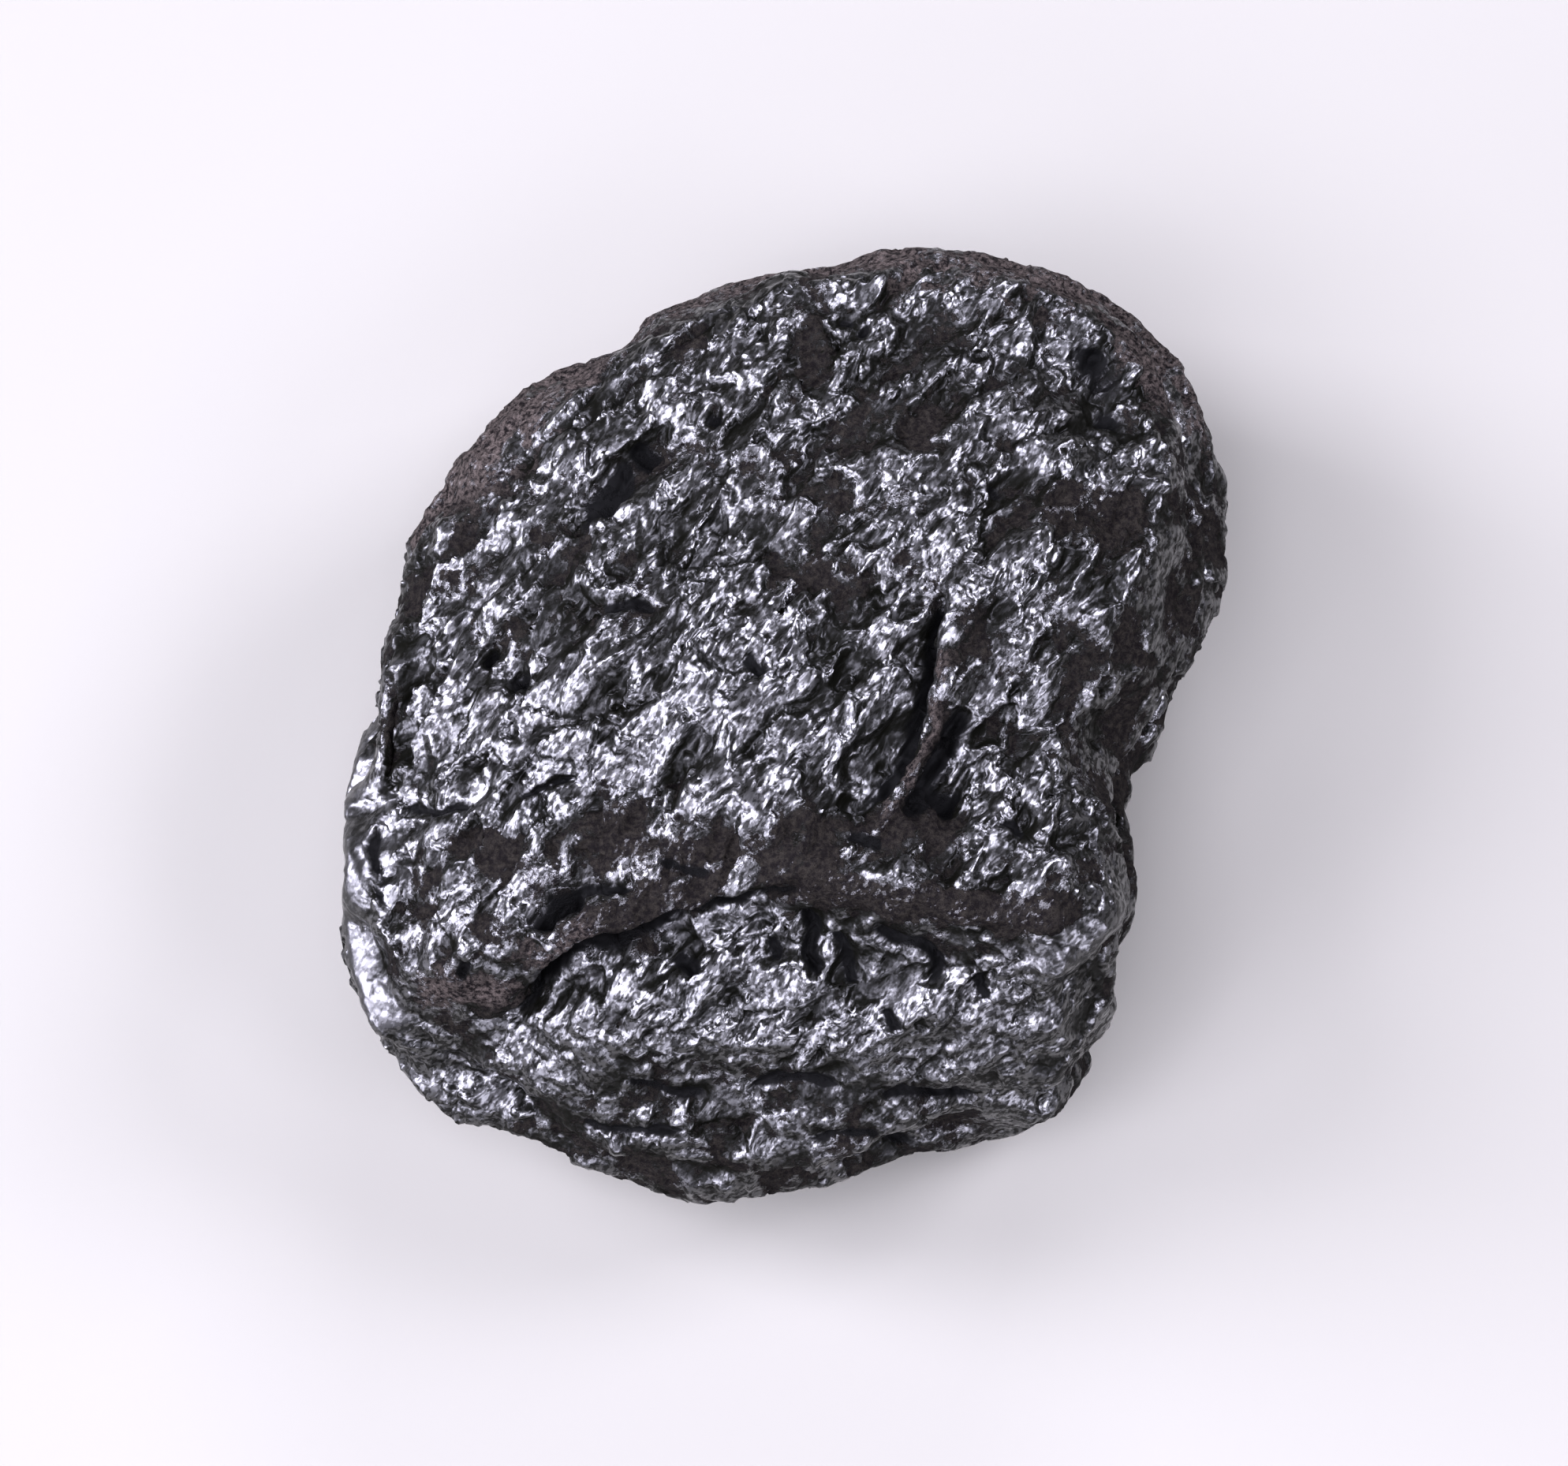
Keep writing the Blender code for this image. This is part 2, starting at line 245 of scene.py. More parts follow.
# Creases: cracks between folds, each with a depth and a half width.
CREASES = [
    ([(-11.4, -11.7), (-10.5, -11.2), (-9.3, -9.75), (-7.8, -8.75), (-6.6, -8.6), (-5.4, -8.05),
      (-4.0, -7.5), (-1.9, -6.95), (-0.7, -6.7), (0.8, -6.4)], 1.3, 0.28),
    ([(-10.2, -10.9), (-9.2, -9.7), (-7.9, -8.9), (-6.6, -8.7), (-5.0, -8.0), (-3.8, -7.5)], 1.5, 0.5),
    ([(-10.9, -7.7), (-10.3, -7.3), (-9.8, -7.0), (-9.2, -6.5), (-8.6, -6.2), (-7.9, -6.0), (-7.2, -5.9),
      (-6.2, -5.9)], 1.2, 0.24),
    ([(-10.6, -7.6), (-9.9, -7.1), (-9.2, -6.6), (-8.4, -6.2)], 1.3, 0.5),
    ([(-5.2, -5.1), (-4.1, -5.3), (-2.7, -5.4)], 0.5, 0.13),
    ([(-15.5, -3.1), (-14.1, -3.2), (-12.6, -2.9)], 0.5, 0.15),
    ([(-10.9, -2.6), (-9.9, -2.3), (-8.5, -1.8)], 0.5, 0.15),
    ([(-7.7, 5.3), (-6.8, 5.2), (-5.2, 5.1)], 0.8, 0.2),
    ([(6.4, 5.9), (6.2, 5.0), (5.95, 3.4), (5.5, 1.5), (4.9, -0.5), (4.1, -1.8), (3.0, -3.0)], 1.5, 0.3),
    ([(7.5, 1.1), (7.1, -0.4), (6.5, -1.6), (5.9, -2.6), (5.0, -3.3)], 1.6, 0.45),
    ([(6.3, -2.5), (7.3, -2.9)], 1.3, 0.45),
    ([(-16.5, -3.9), (-16.45, -5.4), (-16.3, -7.2)], 0.5, 0.14),
    ([(-6.6, -14.2), (-4.9, -14.7), (-3.0, -14.8)], 0.6, 0.2),
    ([(-1.6, -14.5), (0.4, -14.2), (2.4, -14.6)], 0.7, 0.25),
    ([(3.9, -14.9), (5.9, -14.8), (7.9, -14.9)], 0.8, 0.28),
    ([(-8.6, -15.9), (-6.3, -16.3), (-3.8, -16.2)], 0.5, 0.18),
    ([(1.0, -16.6), (3.4, -16.4), (5.6, -16.8)], 0.5, 0.18),
    ([(-5.1, 11.1), (-5.7, 11.3), (-6.2, 11.9)], 1.0, 0.4),
    ([(-6.4, 11.3), (-6.7, 10.2), (-7.8, 8.6)], 0.7, 0.35),
    ([(3.6, -7.9), (4.4, -8.5), (5.9, -8.9), (6.3, -9.7), (6.0, -10.4)], 0.9, 0.28),
    ([(-13.4, -10.2), (-12.9, -9.3)], 0.7, 0.25),
    ([(0.6, -7.4), (1.2, -8.0), (1.0, -9.0), (1.6, -9.8)], 1.0, 0.3),
    ([(1.9, -8.2), (2.6, -9.2), (2.9, -10.4)], 0.9, 0.25),
    ([(-0.6, -8.3), (-0.2, -9.4)], 0.8, 0.25),
    ([(-4.4, -9.0), (-3.6, -9.9)], 0.7, 0.3),
    ([(7.7, -9.9), (8.3, -11.0)], 0.6, 0.22),
    ([(4.0, -11.2), (4.6, -12.3)], 0.6, 0.22),
    ([(-1.6, 3.2), (-0.9, 2.2)], 0.6, 0.25),
    ([(8.8, -3.6), (10.0, -4.1)], 0.6, 0.25),
    ([(2.6, -4.1), (4.0, -4.6)], 0.6, 0.28),
]
for route, depth, half_width in CREASES:
    crease(route, depth, half_width)

# Ridges: thin raised folds, each with a height, a half width and a flatness. The first is the wall of the
# long groove in the top, and the next two are the beads of the left rim.
LEFT_INNER_BEAD = [(-15.9, -2.6), (-15.75, -4.4), (-15.6, -7.4)]
RIDGES = [
    ([(7.7, 6.2), (7.3, 4.8), (6.85, 3.2), (6.3, 1.2), (5.6, -0.8), (4.6, -2.5)], 0.4, 0.8, 4),
    ([(-16.8, 1.0), (-17.0, -1.4), (-17.2, -2.8), (-17.3, -5.6), (-17.2, -8.6), (-16.7, -10.6),
      (-15.6, -12.5), (-14.1, -14.3), (-12.1, -16.0), (-9.8, -17.4)], 0.75, 0.9, 2),
    (LEFT_INNER_BEAD, 0.4, 0.4, 2),
    ([(-15.8, -2.9), (-15.0, -0.7), (-13.6, 2.0), (-12.6, 4.4), (-11.5, 5.6)], 0.45, 0.25, 2),
    ([(-14.4, 2.6), (-13.4, 4.4), (-12.4, 6.0), (-11.6, 7.2)], 0.35, 0.25, 2),
    ([(-8.0, 2.0), (-6.6, 3.4), (-5.4, 4.0)], 0.4, 0.25, 2),
    ([(0.7, 17.6), (1.6, 16.2), (2.3, 15.0)], 0.45, 0.3, 2),
    ([(9.8, -10.2), (11.2, -9.3), (12.2, -8.4), (13.2, -7.2), (13.8, -6.4)], 0.7, 0.9, 2),
]
for route, height, half_width, flatness in RIDGES:
    ridge(route, height, half_width, flatness)

# Pits: small dark holes, each with a depth and a radius.
PITS = [
    ((-11.0, 2.3), 1.2, 0.5), ((-12.0, 3.0), 0.7, 0.35), ((12.6, 15.2), 0.6, 0.4),
    ((13.3, 12.9), 0.5, 0.5), ((3.1, 16.5), 0.6, 0.3), ((2.4, 16.9), 0.5, 0.25),
    ((8.7, 9.9), 0.5, 0.3), ((-2.9, 12.8), 0.6, 0.3),
]
for place, depth, radius in PITS:
    pit(place, depth, radius)

# Powdery stretches, and glossier ones where the strength is negative. Each has a half width and a
# strength, as have all the stretches below.
BACK_RIM = [(-14.4, 9.2), (-12.6, 11.4), (-10.2, 13.4), (-7.8, 15.2), (-5.8, 17.0), (-3.2, 18.2),
            (3.3, 19.4), (9.5, 19.0), (13.6, 17.2), (16.0, 13.6)]
LEFT_PLATE = [(-14.2, -10.7), (-12.9, -10.6), (-11.8, -10.5)]
MIDDLE_LIP = [(0.0, -7.0), (1.3, -6.5), (2.6, -6.3), (3.5, -6.65), (4.2, -7.2)]
RIGHT_BEAD = [(10.6, -9.4), (11.8, -8.8), (12.8, -7.8), (13.5, -7.0)]
POWDERY = [
    (MIDDLE_LIP, 0.6, 1.6),
    ([(4.6, -6.9), (5.9, -7.1), (8.3, -7.2), (10.1, -7.4), (11.4, -7.5)], 0.6, 1.6),
    ([(7.2, -8.1), (7.7, -8.3)], 0.6, -1.0),
    (BACK_RIM, 1.5, 0.9),
    ([(-9.9, -9.0), (-8.0, -7.3), (-5.6, -6.9), (-2.6, -6.1)], 0.7, 0.8),
    ([(-7.8, -9.4), (-5.2, -8.7)], 0.7, 0.7),
    (LEFT_PLATE, 0.8, 1.0),
    ([(-12.4, -4.6), (-11.2, -5.6), (-10.2, -6.2)], 0.9, 0.7),
    ([(-7.9, -5.0), (-5.4, -4.7), (-3.8, -5.0)], 0.6, 0.4),
    ([(-6.8, -4.0), (-3.0, -4.3), (0.5, -4.5), (5.0, -4.7)], 1.2, 0.35),
    ([(9.0, 3.6), (10.6, 2.8), (12.0, 1.4)], 1.4, 0.35),
    ([(11.6, 9.3), (13.2, 9.7), (14.4, 9.2)], 0.7, 0.8),
    ([(-5.2, 11.2), (-3.8, 11.2)], 0.7, 0.8),
    ([(-1.0, 11.0), (0.2, 9.2), (0.0, 6.5)], 1.0, 0.35),
    ([(-17.2, 0.5), (-17.3, -2.5), (-17.4, -8.6), (-16.0, -12.6), (-13.6, -15.0), (-11.0, -17.0)],
     1.7, -2.0),
    ([(-14.6, -13.2), (-12.6, -13.8), (-10.8, -14.6)], 1.3, -1.3),
    ([(-14.0, -1.0), (-9.0, 0.5), (-4.0, 1.0), (1.0, 1.5)], 2.5, -0.8),
    ([(-3.6, 9.5), (-3.2, 6.5)], 1.5, -0.8),
    ([(11.0, 11.3), (14.0, 11.8)], 1.2, -1.0),
    ([(8.4, -1.6), (10.4, -2.2)], 1.3, -0.9),
    ([(7.2, 6.0), (6.9, 3.4)], 0.5, -0.4),
    ([(6.8, 3.2), (6.3, 1.2), (5.6, -0.8), (4.2, -3.2)], 0.6, 0.6),
    ([(4.2, 4.0), (3.8, 1.0), (3.0, -1.6)], 1.3, -1.3),
    ([(-4.0, -9.6), (0.0, -9.6), (4.0, -10.0), (7.0, -11.5)], 2.2, -0.6),
    ([(-10.5, -13.0), (-5.0, -12.5), (1.0, -13.5), (8.0, -13.5)], 2.2, -0.5),
    (RIGHT_BEAD, 1.0, -2.0),
    ([(9.5, -10.5), (11.5, -11.0), (11.5, -13.0), (9.6, -14.6)], 1.6, -1.3),
]
for route, half_width, strength in POWDERY:
    patch(dull, route, half_width, strength)

# Taut stretches, where the skin does not crumple: the beads of the rim and the edges of the folds.
TAUT = [
    ([(-16.6, 2.0), (-16.9, -0.5), (-17.1, -2.8), (-17.2, -5.6), (-17.1, -8.6), (-16.3, -11.0)], 0.9, 1.0),
    (LEFT_INNER_BEAD, 0.45, 1.0),
    ([(-12.2, -11.5), (-10.3, -10.3), (-7.9, -8.2), (-5.5, -7.5), (-1.9, -6.5), (0.8, -6.1)], 0.5, 0.8),
    (MIDDLE_LIP, 0.6, 1.0),
    ([(4.6, -6.9), (5.9, -7.1), (8.3, -7.2), (10.1, -7.4), (11.6, -7.7)], 0.7, 1.0),
    (RIGHT_BEAD, 0.9, 0.7),
    ([(7.3, 4.8), (6.85, 3.2), (6.3, 1.2), (5.6, -0.8), (4.6, -2.5)], 0.5, 0.7),
    (LEFT_PLATE, 0.8, 0.7),
]
for route, half_width, strength in TAUT:
    patch(calm, route, half_width, strength)

# Stretches given the painted shade of a crack's inside, where shallow hollows lie in shade.
SHADED_HOLLOWS = [
    ([(12.0, 14.9), (13.2, 14.3)], 0.9, 0.45),
    ([(-6.9, 10.3), (-8.0, 8.6)], 0.6, 0.5),
]
for route, half_width, strength in SHADED_HOLLOWS:
    patch(gap_shade, route, half_width, strength)

# Stretches where the powder lies thickest and palest. On the back rim and the groove's ridge the paler
# powder is also a painted sheen.
POWDER_AND_SHEEN_HEAPS = [
    (BACK_RIM, 2.0, 1.0),
    (LEFT_PLATE, 0.8, 0.9),
    ([(-10.2, -9.0), (-8.8, -8.0)], 0.6, 0.7),
    ([(7.0, 4.0), (6.3, 1.2), (5.6, -0.8), (4.6, -2.5)], 0.5, 0.7),
]
for route, half_width, strength in POWDER_AND_SHEEN_HEAPS:
    patch(thick_and_sheen, route, half_width, strength)

for name, field in (("dull", dull), ("thick_and_sheen", thick_and_sheen), ("gap_shade", gap_shade), ("calm", calm)):
    layer = body.attributes.new(name, "FLOAT", "POINT")
    layer.data.foreach_set("value", field.astype(np.float32))
layer = body.attributes.new("folding", "FLOAT_VECTOR", "POINT")
layer.data.foreach_set("vector", moves.astype(np.float32).ravel())


# The skin. The outside dried first and shrank over the soft inside, so it is crumpled all over into
# flat little facets with sharp edges. Three sizes of crumple lie on each other.
def add(tree, kind, settings=None, inputs=None):
    """A new node with its settings, and its inputs set to values or linked to sockets or nodes."""
    node = tree.nodes.new(kind)
    for name, value in (settings or {}).items():
        setattr(node, name, value)
    for name, value in (inputs or {}).items():
        if isinstance(value, bpy.types.Node):
            value = next(output for output in value.outputs if output.enabled)
        if isinstance(value, bpy.types.NodeSocket):
            tree.links.new(value, node.inputs[name])
        else:
            node.inputs[name].default_value = value
    return node


# How one size of crumple is shaped, all counted in its facets: how often and how far the facets' edges
# bend, how steeply the facets tilt, and how close, how sharp and how high the folds are.
EDGE_BENDS_PER_FACET = 0.9
EDGE_BEND = 1.6
FACET_TILT = 1.1
FOLDS_PER_FACET = 0.7
FOLD_SHARPNESS = 2.4
FOLD_RISE = 0.25


def crumple(tree, place):
    """The height of skin crumpled into tilted facets and sharp folds: place is counted in facets."""
    bend = add(tree, "ShaderNodeTexNoise", None,
               {"Vector": place, "Scale": EDGE_BENDS_PER_FACET, "Detail": 1.0}).outputs["Color"]
    bend = add(tree, "ShaderNodeVectorMath", {"operation": "SUBTRACT"}, {0: bend, 1: (0.5, 0.5, 0.5)})
    bent = add(tree, "ShaderNodeVectorMath", {"operation": "MULTIPLY_ADD"},
               {0: bend, 1: (EDGE_BEND, EDGE_BEND, EDGE_BEND), 2: place})
    facets = add(tree, "ShaderNodeTexVoronoi", None, {"Vector": bent, "Scale": 1.0})
    tilt = add(tree, "ShaderNodeVectorMath", {"operation": "SUBTRACT"},
               {0: facets.outputs["Color"], 1: (0.5, 0.5, 0.5)})
    from_middle = add(tree, "ShaderNodeVectorMath", {"operation": "SUBTRACT"},
                      {0: bent, 1: facets.outputs["Position"]})
    tilted = add(tree, "ShaderNodeVectorMath", {"operation": "DOT_PRODUCT"}, {0: tilt, 1: from_middle})
    fold = add(tree, "ShaderNodeTexNoise", None, {"Vector": bent, "Scale": FOLDS_PER_FACET, "Detail": 1.0})
    fold = add(tree, "ShaderNodeMath", {"operation": "SUBTRACT"}, {0: fold, 1: 0.5})
    fold = add(tree, "ShaderNodeMath", {"operation": "ABSOLUTE"}, {0: fold})
    folded = add(tree, "ShaderNodeMath", {"operation": "MULTIPLY_ADD"},
                 {0: fold, 1: -FOLD_SHARPNESS, 2: FOLD_RISE})
    return add(tree, "ShaderNodeMath", {"operation": "MULTIPLY_ADD"},
               {0: tilted, 1: FACET_TILT, 2: folded})


tree = bpy.data.node_groups.new("crumpled_skin", "GeometryNodeTree")
tree.interface.new_socket("Geometry", in_out="INPUT", socket_type="NodeSocketGeometry")
tree.interface.new_socket("Geometry", in_out="OUTPUT", socket_type="NodeSocketGeometry")
SKIN_SIZES = {
    "Coarse facet": 2.8, "Coarse height": 0.9,
    "Middle facet": 1.3, "Middle height": 0.52,
    "Fine facet": 0.6, "Fine height": 0.05,
}
for name in SKIN_SIZES:
    tree.interface.new_socket(name, in_out="INPUT", socket_type="NodeSocketFloat")
tree.interface.new_socket("Material", in_out="INPUT", socket_type="NodeSocketMaterial")
given = add(tree, "NodeGroupInput").outputs

# On top the facets are drawn out along one lean, as where soft pitch is stroked. On the flanks they lie
# any way.
TOP_BEGINS, TOP_IS_WHOLE = 0.55, 0.85
STROKE_LEAN = math.radians(-52)
TOP_STRETCH = (0.65, 1.3, 1.0)
SIDE_STRETCH = (1.3, 1.3, 1.0)
place = add(tree, "GeometryNodeInputPosition")
normal = add(tree, "GeometryNodeInputNormal")
faces_up = add(tree, "ShaderNodeSeparateXYZ", None, {0: normal}).outputs["Z"]
on_top = add(tree, "ShaderNodeMapRange", {"interpolation_type": "SMOOTHSTEP"},
             {"Value": faces_up, "From Min": TOP_BEGINS, "From Max": TOP_IS_WHOLE})
leaning = add(tree, "ShaderNodeVectorRotate", {"rotation_type": "Z_AXIS"},
              {"Vector": place, "Angle": STROKE_LEAN})
top_place = add(tree, "ShaderNodeVectorMath", {"operation": "MULTIPLY"}, {0: leaning, 1: TOP_STRETCH})
side_place = add(tree, "ShaderNodeVectorMath", {"operation": "MULTIPLY"}, {0: place, 1: SIDE_STRETCH})

# Powder gathers in patches, and a little more on the flanks than on top.
POWDER_PATCHES_PER_MM = 0.42
POWDER_GIVEN = 0.3
POWDER_ON_FLANKS = 0.08
POWDER_BEGINS, POWDER_IS_WHOLE = 0.5, 0.62
dull_here = add(tree, "GeometryNodeInputNamedAttribute", {"data_type": "FLOAT"}, {"Name": "dull"})
mottle = add(tree, "ShaderNodeTexNoise", None,
             {"Vector": place, "Scale": POWDER_PATCHES_PER_MM, "Detail": 4.0, "Roughness": 0.6})
duller = add(tree, "ShaderNodeMath", {"operation": "MULTIPLY_ADD"},
             {0: dull_here, 1: POWDER_GIVEN, 2: mottle})
duller = add(tree, "ShaderNodeMath", {"operation": "MULTIPLY_ADD"},
             {0: on_top, 1: -POWDER_ON_FLANKS, 2: duller})
duller = add(tree, "ShaderNodeMath", {"operation": "ADD"}, {0: duller, 1: POWDER_ON_FLANKS})
powder = add(tree, "ShaderNodeMapRange", {"interpolation_type": "SMOOTHSTEP"},
             {"Value": duller, "From Min": POWDER_BEGINS, "From Max": POWDER_IS_WHOLE})

# The skin crumples less where it is powdery, in a gap, stretched taut or on a flank, and not at all where
# the lump rests on the table.
LOST_TO_POWDER = 0.4
LOST_TO_GAPS = 0.7
LOST_TO_TAUTNESS = 0.9
LEFT_ON_FLANKS = 0.45
RESTS_BELOW, FREE_ABOVE = 0.05, 1.2
gap_shade_here = add(tree, "GeometryNodeInputNamedAttribute", {"data_type": "FLOAT"}, {"Name": "gap_shade"})
calm_here = add(tree, "GeometryNodeInputNamedAttribute", {"data_type": "FLOAT"}, {"Name": "calm"})
by_powder = add(tree, "ShaderNodeMath", {"operation": "MULTIPLY_ADD"},
                {0: powder, 1: -LOST_TO_POWDER, 2: 1.0})
by_gap = add(tree, "ShaderNodeMath", {"operation": "MULTIPLY_ADD"},
             {0: gap_shade_here, 1: -LOST_TO_GAPS, 2: 1.0})
by_tautness = add(tree, "ShaderNodeMath", {"operation": "MINIMUM"}, {0: calm_here, 1: 1.0})
by_tautness = add(tree, "ShaderNodeMath", {"operation": "MULTIPLY_ADD"},
                  {0: by_tautness, 1: -LOST_TO_TAUTNESS, 2: 1.0})
height_up = add(tree, "ShaderNodeSeparateXYZ", None, {0: place}).outputs["Z"]
off_table = add(tree, "ShaderNodeMapRange", {"interpolation_type": "SMOOTHSTEP"},
                {"Value": height_up, "From Min": RESTS_BELOW, "From Max": FREE_ABOVE})
by_flank = add(tree, "ShaderNodeMapRange", None,
               {"Value": on_top, "To Min": LEFT_ON_FLANKS, "To Max": 1.0})
strength = add(tree, "ShaderNodeMath", {"operation": "MULTIPLY"}, {0: by_powder, 1: off_table})
strength = add(tree, "ShaderNodeMath", {"operation": "MULTIPLY"}, {0: strength, 1: by_flank})
strength = add(tree, "ShaderNodeMath", {"operation": "MULTIPLY"}, {0: strength, 1: by_gap})
strength = add(tree, "ShaderNodeMath", {"operation": "MULTIPLY"}, {0: strength, 1: by_tautness})

# The crumples' heights are added up, and their peaks are worn down round.
HIGHEST_PEAK = 0.42
PEAK_ROUNDING = 0.2
heights = []
for laid_out in (side_place, top_place):
    height = 0.0
    for size in ("Coarse", "Middle", "Fine"):
        per_mm = add(tree, "ShaderNodeMath", {"operation": "DIVIDE"}, {0: 1.0, 1: given[f"{size} facet"]})
        in_facets = add(tree, "ShaderNodeVectorMath", {"operation": "SCALE"},
                        {0: laid_out, "Scale": per_mm})
        height = add(tree, "ShaderNodeMath", {"operation": "MULTIPLY_ADD"},
                     {0: crumple(tree, in_facets), 1: given[f"{size} height"], 2: height})
    heights.append(height)
height = add(tree, "ShaderNodeMix", {"data_type": "FLOAT"}, {0: on_top, 2: heights[0], 3: heights[1]})
# The depth of each hollow is kept for the painted shade of the finish.
hollow_shade = add(tree, "ShaderNodeMath", {"operation": "MULTIPLY"}, {0: height, 1: -1.0})
height = add(tree, "ShaderNodeMath", {"operation": "SMOOTH_MIN"},
             {0: height, 1: HIGHEST_PEAK, 2: PEAK_ROUNDING})
height = add(tree, "ShaderNodeMath", {"operation": "MULTIPLY"}, {0: height, 1: strength})
rise = add(tree, "ShaderNodeVectorMath", {"operation": "SCALE"}, {0: normal, "Scale": height})

# The folds and the crumples move the skin together, no part of it goes below the table, and what the
# finish needs to know is stored on it.
ANYWHERE_BELOW = -1e3
folding_here = add(tree, "GeometryNodeInputNamedAttribute", {"data_type": "FLOAT_VECTOR"},
                   {"Name": "folding"})
offset = add(tree, "ShaderNodeVectorMath", {"operation": "ADD"}, {0: rise, 1: folding_here})
skin_now = given["Geometry"]
for name, value in (("duller", duller), ("hollow_shade", hollow_shade), ("on_top", on_top)):
    skin_now = add(tree, "GeometryNodeStoreNamedAttribute", {"data_type": "FLOAT", "domain": "POINT"},
                   {"Geometry": skin_now, "Name": name, "Value": value})
skin_now = add(tree, "GeometryNodeSetPosition", None, {"Geometry": skin_now, "Offset": offset})
lifted = add(tree, "ShaderNodeVectorMath", {"operation": "MAXIMUM"},
             {0: add(tree, "GeometryNodeInputPosition"), 1: (ANYWHERE_BELOW, ANYWHERE_BELOW, 0.0)})
skin_now = add(tree, "GeometryNodeSetPosition", None, {"Geometry": skin_now, "Position": lifted})
skin_now = add(tree, "GeometryNodeRealizeInstances", None, {"Geometry": skin_now})
skin_now = add(tree, "GeometryNodeSetMaterial", None,
               {"Geometry": skin_now, "Material": given["Material"]})
add(tree, "NodeGroupOutput", None, {"Geometry": skin_now})


# Dried pitch. Where the skin is bare it is glossy like varnish, a little gritty, so each facet that faces
# a light throws back a hard cool glint. Where it was handled it wears a dull film of its own brown-grey
# powder, paler where it lies thick, and on the back rim and the groove's ridge that paler powder is also a
# painted sheen. Its hollows and the insides of its cracks are matt black, a painted shade. The gloss is
# the shader's coat.
def linear(colour):
    """The linear values of an sRGB hex colour."""
    values = [int(colour[k:k + 2], 16) / 255 for k in (1, 3, 5)]
    return [v / 12.92 if v <= 0.04045 else ((v + 0.055) / 1.055) ** 2.4 for v in values] + [1.0]


BARE_PITCH = linear("#030302")
THIN_POWDER = linear("#030202")
CLOUDY_POWDER = linear("#110f0c")
# Paler powder, which on the back rim and the groove's ridge also stands in for a painted sheen.
THICK_POWDER_AND_SHEEN = linear("#302b28")
# Painted shade: the near-black painted inside cracks and shaded hollows.
CRACK_SHADE_BLACK = linear("#020202")
VARNISH_IOR = 1.6
VARNISH_ROUGHNESS = 0.28
PITCH_IOR = 1.58
PITCH_SPECULAR = 0.02
BARE_ROUGHNESS, POWDER_ROUGHNESS = 0.35, 0.7

resin = bpy.data.materials.new("dried_pitch_skin")
resin.use_nodes = True
nodes = resin.node_tree
shader = nodes.nodes["Principled BSDF"]
shader.inputs["IOR"].default_value = PITCH_IOR
shader.inputs["Specular IOR Level"].default_value = PITCH_SPECULAR
shader.inputs["Coat IOR"].default_value = VARNISH_IOR
shader.inputs["Coat Roughness"].default_value = VARNISH_ROUGHNESS
object_place = add(nodes, "ShaderNodeTexCoord").outputs["Object"]
in_mm = add(nodes, "ShaderNodeVectorMath", {"operation": "SCALE"}, {0: object_place, "Scale": 1 / MM})
duller = add(nodes, "ShaderNodeAttribute", {"attribute_name": "duller"}).outputs["Fac"]
hollow_shade = add(nodes, "ShaderNodeAttribute", {"attribute_name": "hollow_shade"}).outputs["Fac"]
in_gap_shade = add(nodes, "ShaderNodeAttribute", {"attribute_name": "gap_shade"}).outputs["Fac"]
thickness_and_sheen = add(nodes, "ShaderNodeAttribute", {"attribute_name": "thick_and_sheen"}).outputs["Fac"]
taut = add(nodes, "ShaderNodeAttribute", {"attribute_name": "calm"}).outputs["Fac"]
on_top = add(nodes, "ShaderNodeAttribute", {"attribute_name": "on_top"}).outputs["Fac"]
lively = add(nodes, "ShaderNodeAttribute", {"attribute_name": "dull"}).outputs["Fac"]

# The powder's film has a ragged edge, speckled at about 0.6 mm, and creeps into the hollows, where it is
# painted shade that darkens them.
SPECKLES_PER_MM = 1.6
FILM_RAGGEDNESS = 0.8
FILM_INTO_HOLLOWS = 0.3
FILM_BEGINS, FILM_IS_WHOLE = 0.94, 1.06
speckle = add(nodes, "ShaderNodeTexNoise", None,
              {"Vector": in_mm, "Scale": SPECKLES_PER_MM, "Detail": 4.0, "Roughness": 0.7})
ragged = add(nodes, "ShaderNodeMath", {"operation": "MULTIPLY_ADD"},
             {0: speckle, 1: FILM_RAGGEDNESS, 2: duller})
ragged = add(nodes, "ShaderNodeMath", {"operation": "MULTIPLY_ADD"},
             {0: hollow_shade, 1: FILM_INTO_HOLLOWS, 2: ragged})
film_and_shade = add(nodes, "ShaderNodeMapRange", {"interpolation_type": "SMOOTHSTEP"},
           {"Value": ragged, "From Min": FILM_BEGINS, "From Max": FILM_IS_WHOLE})

# Hollows lose their gloss with depth and at random with a speckle, less so on the lively stretches, and
# cracks lose all of it: in the hollows and cracks this is painted shade.
SUNK_RAGGEDNESS = 0.6
SUNK_WHERE_LIVELY = 0.2
SUNK_BEGINS, SUNK_IS_WHOLE = 0.1, 0.46
GLOSS_LOST_WHEN_SUNK = 0.92
CRACK_BEGINS, CRACK_IS_WHOLE = 0.15, 0.55
lively = add(nodes, "ShaderNodeMath", {"operation": "MINIMUM"}, {0: lively, 1: 0.0})
sunk = add(nodes, "ShaderNodeMath", {"operation": "MULTIPLY_ADD"},
           {0: speckle, 1: SUNK_RAGGEDNESS, 2: hollow_shade})
sunk = add(nodes, "ShaderNodeMath", {"operation": "MULTIPLY_ADD"},
           {0: lively, 1: SUNK_WHERE_LIVELY, 2: sunk})
sunk = add(nodes, "ShaderNodeMapRange", {"interpolation_type": "SMOOTHSTEP"},
           {"Value": sunk, "From Min": SUNK_BEGINS, "From Max": SUNK_IS_WHOLE,
            "To Max": GLOSS_LOST_WHEN_SUNK})
